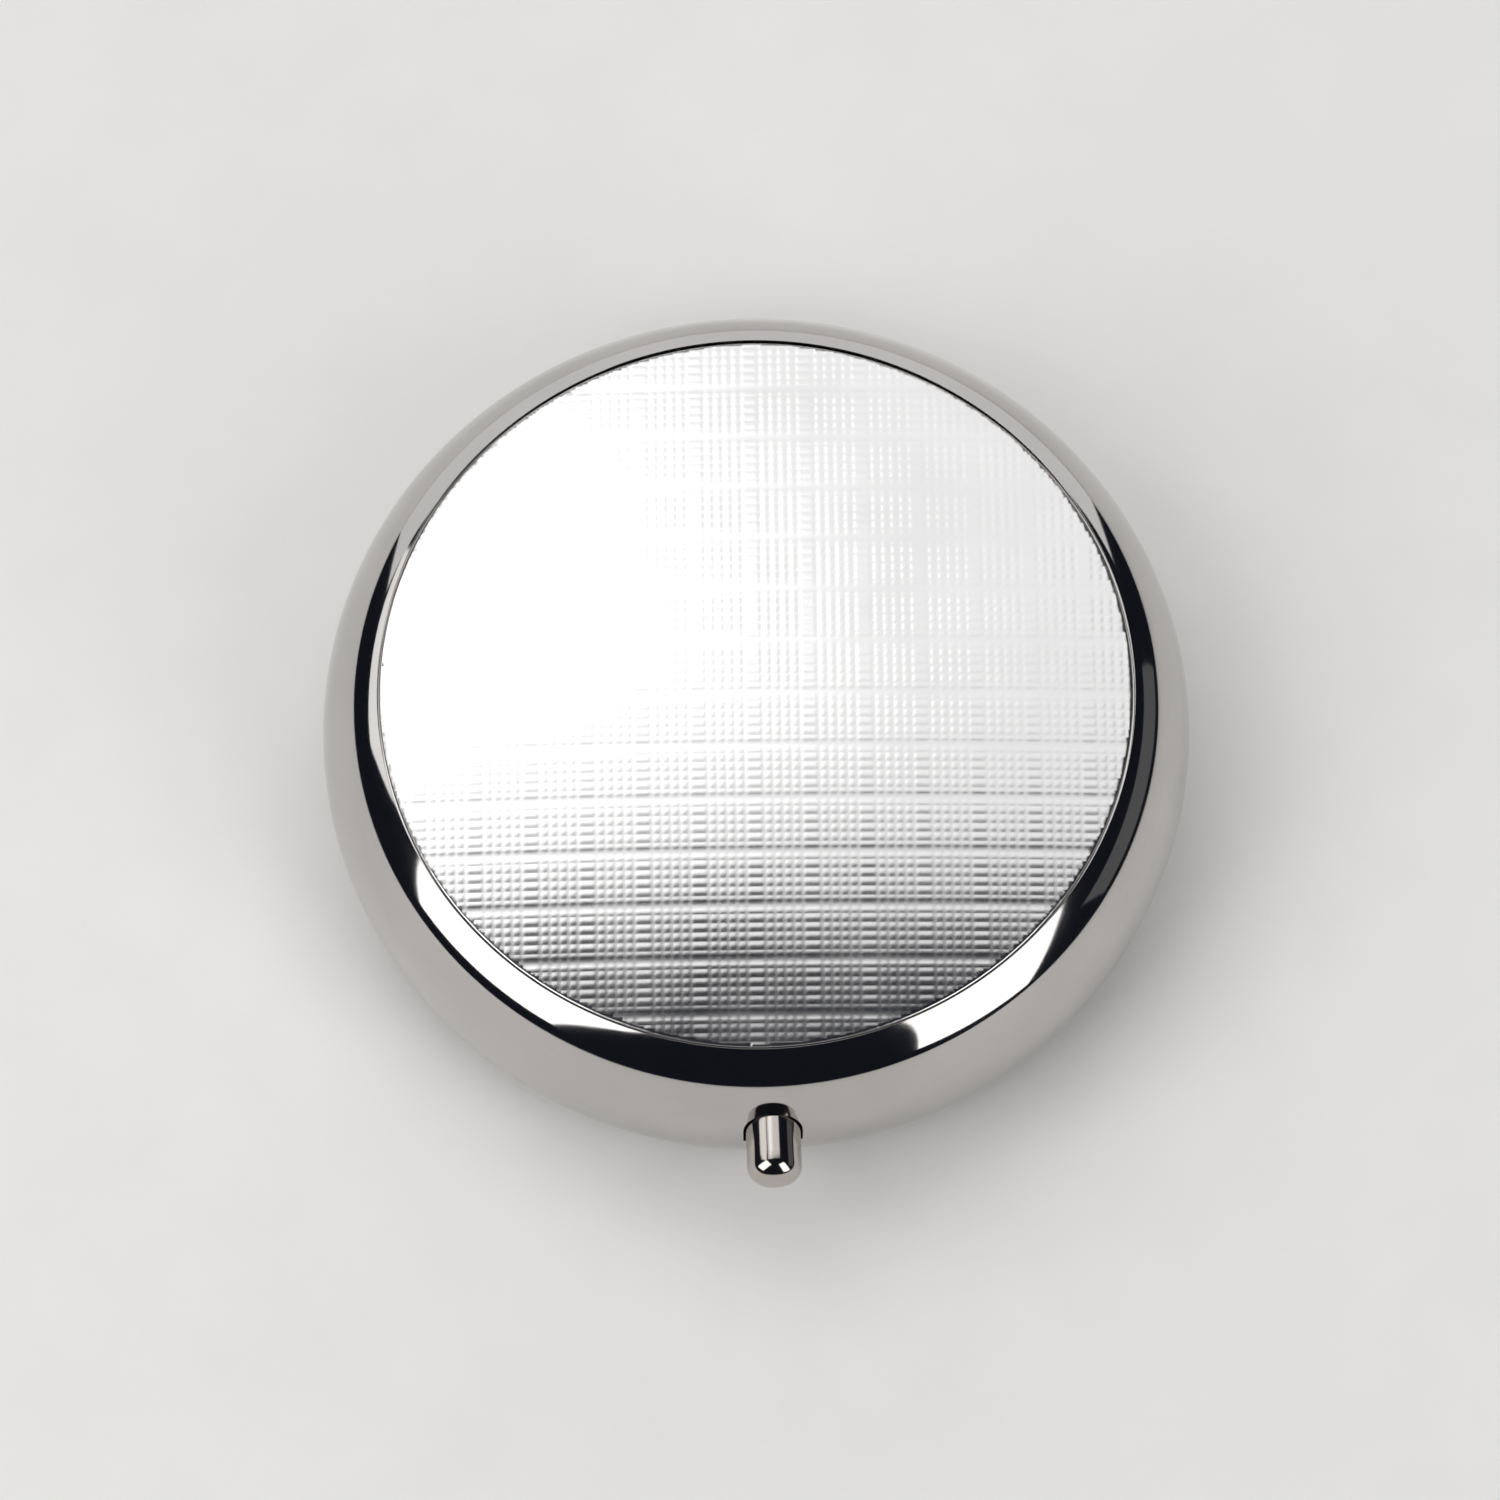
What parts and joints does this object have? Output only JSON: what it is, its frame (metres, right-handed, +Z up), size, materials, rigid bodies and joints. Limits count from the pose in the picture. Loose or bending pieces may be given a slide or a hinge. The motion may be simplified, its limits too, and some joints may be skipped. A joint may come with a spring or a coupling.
{
  "type": "pill box",
  "caption": "Round push-button pocket pill box with a hinged lid, an embossed top plate, a mirror inside the lid and a compartment tray.",
  "frame": {"origin": "centre of the flat underside, where the box rests", "axes": "+Z up through the lid, the push button at -Y and the hinge at +Y"},
  "size_m": [0.05, 0.0529, 0.0143],
  "materials": {
    "plated_shell": "mirror polished plating",
    "plated_collar": "bright plating, faint turning marks",
    "tray_plastic": "fine satin moulding",
    "latch_steel": "satin",
    "rivet_steel": "satin",
    "spring_steel": "drawn wire",
    "hinge_steel": "polished",
    "button_metal": "polished, fine turning marks",
    "plate_metal": "embossed, satin between bright edges",
    "adhesive": "dull film",
    "frame_metal": "polished",
    "mirror_glass": "silvered glass",
    "foam_pad": "dull foam"
  },
  "bodies": {
    "base": {"base_shell": "plated_shell", "base_collar": "plated_collar", "pill_tray": "tray_plastic", "latch_bracket": "latch_steel", "latch_rivets": "rivet_steel", "button_spring": "spring_steel", "hinge_base_leaf": "hinge_steel", "hinge_pin": "hinge_steel", "hinge_spring": "spring_steel"},
    "button": {"push_button": "button_metal", "latch_catch": "latch_steel", "retaining_clip": "spring_steel"},
    "lid": {"lid_shell": "plated_shell", "lid_plate": "plate_metal", "plate_adhesive": "adhesive", "hinge_lid_leaf": "hinge_steel", "latch_striker": "latch_steel", "mirror_frame": "frame_metal", "lid_mirror": "mirror_glass", "mirror_pad": "foam_pad"}
  },
  "joints": [
    {"name": "lid_hinge", "type": "hinge", "parent": "base", "child": "lid", "pos_m": [0, 0.0241, 0.0068], "axis": [-1, 0, 0], "range_deg": [0, 100]},
    {"name": "button_slide", "type": "slide", "parent": "base", "child": "button", "axis": [0, 1, 0], "range_m": [0, 0.0012], "stiffness_N_per_m": 400, "springref_m": -0.001, "deforming": ["button_spring"]}
  ]
}
